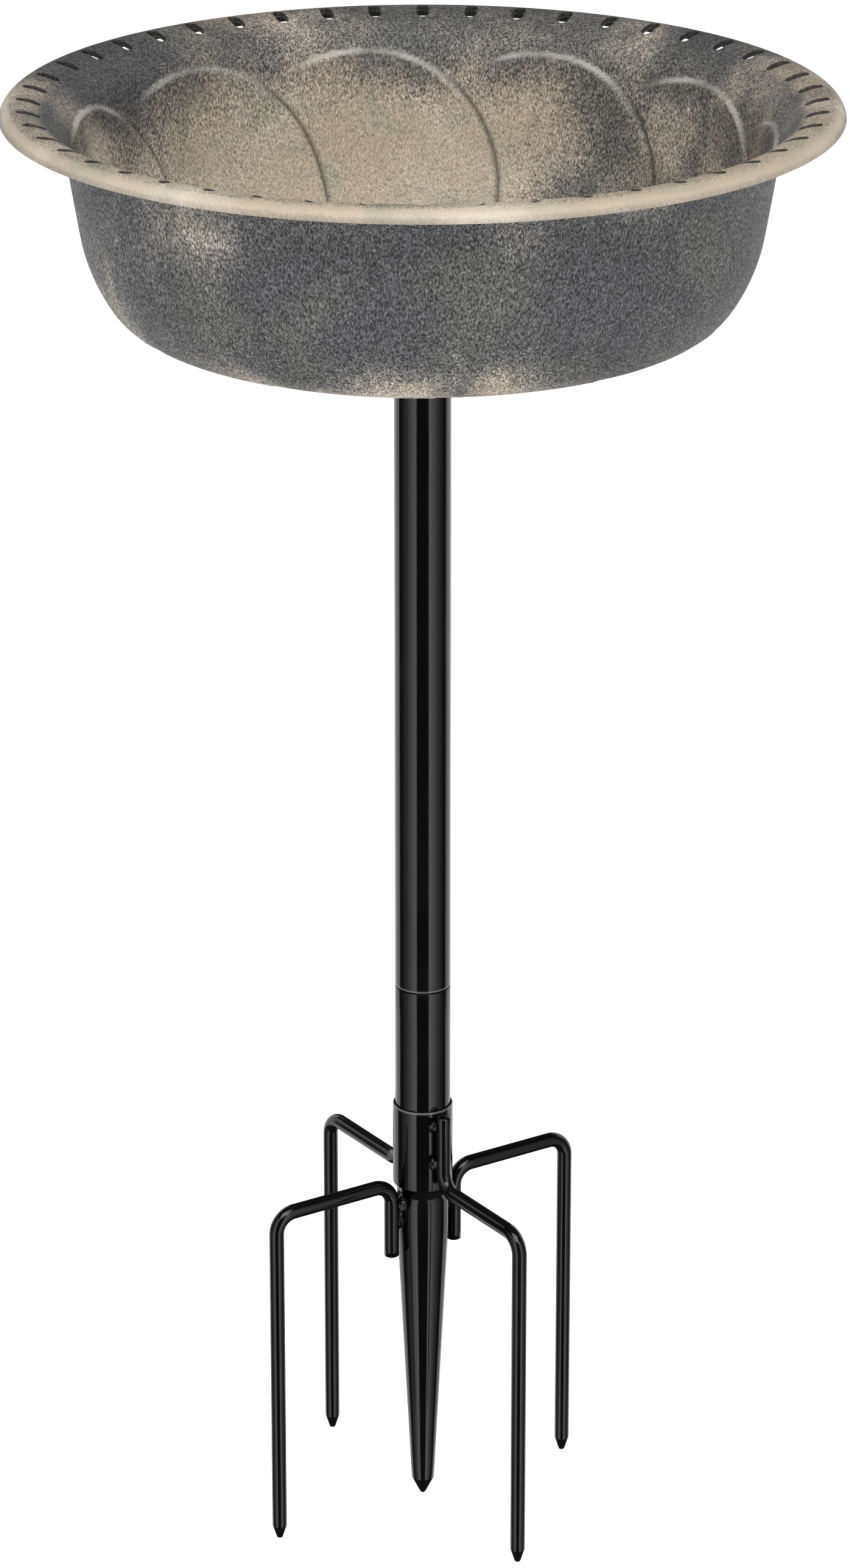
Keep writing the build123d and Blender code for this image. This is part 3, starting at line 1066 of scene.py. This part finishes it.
def make_prong(name, azimuth, leg_up, material):
    """One bent rod with a sawn point, at this azimuth in degrees."""
    turn = radians(azimuth)
    along = Vector((cos(turn), sin(turn), 0))
    path = [along * r + Vector((0, 0, z)) for r, z in rod_path(leg_up)]
    across = Vector((-sin(turn), cos(turn), 0))
    columns = 32
    shell = Shell()
    rings = []

    def ring(centre, direction, radius):
        other = direction.cross(across).normalized()
        found = []
        for i in range(columns):
            a = 2 * pi * i / columns
            found.append(shell.point(*(centre + across * (radius * cos(a)) + other * (radius * sin(a)))))
        rings.append(found)

    start = (path[1] - path[0]).normalized()
    ring(path[0] + start * 0.02 * MM, start, ROD - 0.45 * MM)
    ring(path[0] + start * 0.35 * MM, start, ROD)
    for before, here, after in zip(path, path[1:], path[2:]):
        ring(here, (after - before).normalized(), ROD)
    end = (path[-1] - path[-2]).normalized()
    # The sawn point, a little rounded at its shoulder and tip
    for share, radius in ((-0.06, 1.0), (0.0, 0.985), (0.06, 0.95), (0.94, 0.43), (0.99, 0.36), (1.0, 0.2)):
        ring(path[-1] + end * (POINT * share), end, ROD * radius)
    for one, other in zip(rings, rings[1:]):
        shell.bridge(one, other)
    shell.cap(rings[0], shell.point(*path[0]))
    shell.cap(rings[-1], shell.point(*(path[-1] + end * POINT)))
    place(shell.finish(name + "_rod", material), "stake", "black_steel", name)


def make_welds(material):
    """Lumpy weld beads where the rods meet the sleeve and the spike."""
    edit = bmesh.new()
    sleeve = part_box("stake_sleeve")[1][0]
    for order, (_, azimuth, leg_up) in enumerate(PRONGS):
        # Turn from the rod in degrees, radius in metres, height and half height in mm
        if leg_up:
            circle = sleeve + 1.5 * MM
            beads = ((-15, circle, 19.0, 2.5), (-15, circle, 35.5, 2.5))
        else:
            circle = SPIKE_RADIUS + 1.5 * MM
            beads = ((15, circle, -1.0, 3.2), (2, SPIKE_RADIUS + 0.9 * MM, -4.0, 8.5))
        for number, (aside, reach, height, half) in enumerate(beads):
            turn = radians(azimuth + aside)
            centre = Vector((reach * cos(turn), reach * sin(turn), height * MM))
            made = bmesh.ops.create_icosphere(edit, subdivisions=4, radius=1.0)
            for vert in made["verts"]:
                spot = vert.co * 1.3 + Vector((order * 7.0, number * 5.0, height))
                lump = 1 + 0.28 * noise.noise(spot) + 0.12 * noise.noise(spot * 3.1)
                size = Vector((2.1, 2.1, half)) * MM
                vert.co = Vector(c * s * lump for c, s in zip(vert.co, size)) + centre
    edit.verts.index_update()
    shell = Shell()
    for vert in edit.verts:
        shell.point(*vert.co)
    for face in edit.faces:
        shell.faces.append(tuple(v.index for v in face.verts))
    edit.free()
    place(shell.finish("weld_beads", material), "stake", "black_steel", "prong_welds")


# ---------------------------------------------------------------- stage
def make_floor():
    """A pale floor under the tips, which the gloss of the steel doesn't mirror."""
    n = Nodes("pale_floor", 0.9)
    n.shader.inputs["Base Color"].default_value = (0.6, 0.6, 0.6, 1)
    n.shader.inputs["Emission Color"].default_value = (1, 1, 1, 1)
    n.shader.inputs["Emission Strength"].default_value = 0.98
    # Its underside is clear, so that the feeder can be seen from below too
    clear = n.add("ShaderNodeBsdfTransparent", {}).outputs[0]
    back = n.add("ShaderNodeNewGeometry", {}).outputs["Backfacing"]
    mix = n.add("ShaderNodeMixShader", {0: back, 1: n.shader.outputs[0], 2: clear})
    n.tree.links.new(mix.outputs[0], n.tree.nodes["Material Output"].inputs["Surface"])
    size = 30
    mesh = bpy.data.meshes.new("floor")
    corners = [(-size, -size, 0), (size, -size, 0), (size, size, 0), (-size, size, 0)]
    mesh.from_pydata(corners, [], [(0, 1, 2, 3)])
    mesh.materials.append(n.material)
    ground = bpy.data.objects.new("floor", mesh)
    ground.location.z = cad_low.z - 0.5 * MM
    bpy.context.scene.collection.objects.link(ground)
    ground.visible_glossy = False


def make_light(name, place_at, target, width, height, power):
    """A rectangular soft light that the camera doesn't see."""
    data = bpy.data.lights.new(name, "AREA")
    data.shape = "RECTANGLE"
    data.size = width
    data.size_y = height
    data.energy = power
    lamp = bpy.data.objects.new(name, data)
    lamp.location = place_at
    aim = Vector(target) - Vector(place_at)
    lamp.rotation_euler = aim.to_track_quat("-Z", "Y").to_euler()
    lamp.visible_camera = False
    bpy.context.scene.collection.objects.link(lamp)


def ring_light(name, azimuth, span, distance, strength):
    """A tall soft box beside the feeder, its azimuth and span in degrees from the front."""
    turn = radians(azimuth)
    width = 2 * distance * tan(radians(span / 2))
    at = (distance * sin(turn), -distance * cos(turn), BOX_MIDDLE)
    power = strength * pi * width * BOX_HEIGHT
    make_light(name, at, (0, 0, BOX_MIDDLE), width, BOX_HEIGHT, power)


def make_lights():
    """Soft light from above and in front, and tall boxes that the steel mirrors as bands."""
    make_light("overhead", (0.0, -1.3, 2.3), (0, 0, 0.4), 2.4, 1.8, 52)
    for side, name in ((-1, "left"), (1, "right")):
        for i, strength in enumerate(FADING):
            azimuth = side * (FRONT_BOX_START + FRONT_BOX_SPAN * i)
            ring_light("front_box_%s_%d" % (name, i), azimuth, FRONT_BOX_SPAN, 2.0, strength)
        ring_light("side_wall_" + name, side * 122, 24, 2.6, 1.0)
        ring_light("back_wall_" + name, side * 151, 32, 2.6, 1.1)


def make_world():
    """Dim for the light that falls on the object, pale where the camera sees past the floor."""
    world = bpy.data.worlds.new("studio")
    bpy.context.scene.world = world
    world.use_nodes = True
    tree = world.node_tree
    plain = tree.nodes["Background"]
    plain.inputs["Color"].default_value = (0.5, 0.5, 0.5, 1)
    plain.inputs["Strength"].default_value = 0.12
    pale = tree.nodes.new("ShaderNodeBackground")
    pale.inputs["Color"].default_value = (1, 1, 1, 1)
    path = tree.nodes.new("ShaderNodeLightPath")
    mix = tree.nodes.new("ShaderNodeMixShader")
    tree.links.new(path.outputs["Is Camera Ray"], mix.inputs[0])
    tree.links.new(plain.outputs[0], mix.inputs[1])
    tree.links.new(pale.outputs[0], mix.inputs[2])
    tree.links.new(mix.outputs[0], tree.nodes["World Output"].inputs["Surface"])


def make_camera():
    """A long lens in front of the feeder, looking down into the bowl."""
    data = bpy.data.cameras.new("camera")
    data.sensor_width = 36
    data.lens = CAMERA_LENS
    camera = bpy.data.objects.new("camera", data)
    camera.location = CAMERA_PLACE
    camera.rotation_euler = (radians(90 - CAMERA_DIP), 0, 0)
    bpy.context.scene.collection.objects.link(camera)
    bpy.context.scene.camera = camera


def make_feeder():
    """Every piece of the feeder, each on its body."""
    steel = powder_coat()
    make_bowl(bowl_plastic())
    make_insert(brass())
    make_washer(rubber())
    make_stud(zinc())
    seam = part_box("upper_pole_tube")[0][2]
    make_tube("upper_pole", "upper_pole_tube", "upper_pole", steel, 1 * MM, 0.35 * MM, seam)
    make_lower_pole(steel)
    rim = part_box("stake_sleeve")[1][2]
    make_tube("sleeve", "stake_sleeve", "stake", steel, 0.9 * MM, 0.3 * MM, rim)
    make_spike(steel)
    for name, azimuth, leg_up in PRONGS:
        make_prong(name, azimuth, leg_up, steel)
    make_welds(steel)


make_feeder()
make_floor()
make_lights()
make_world()
make_camera()
bpy.context.scene.view_settings.view_transform = "Standard"
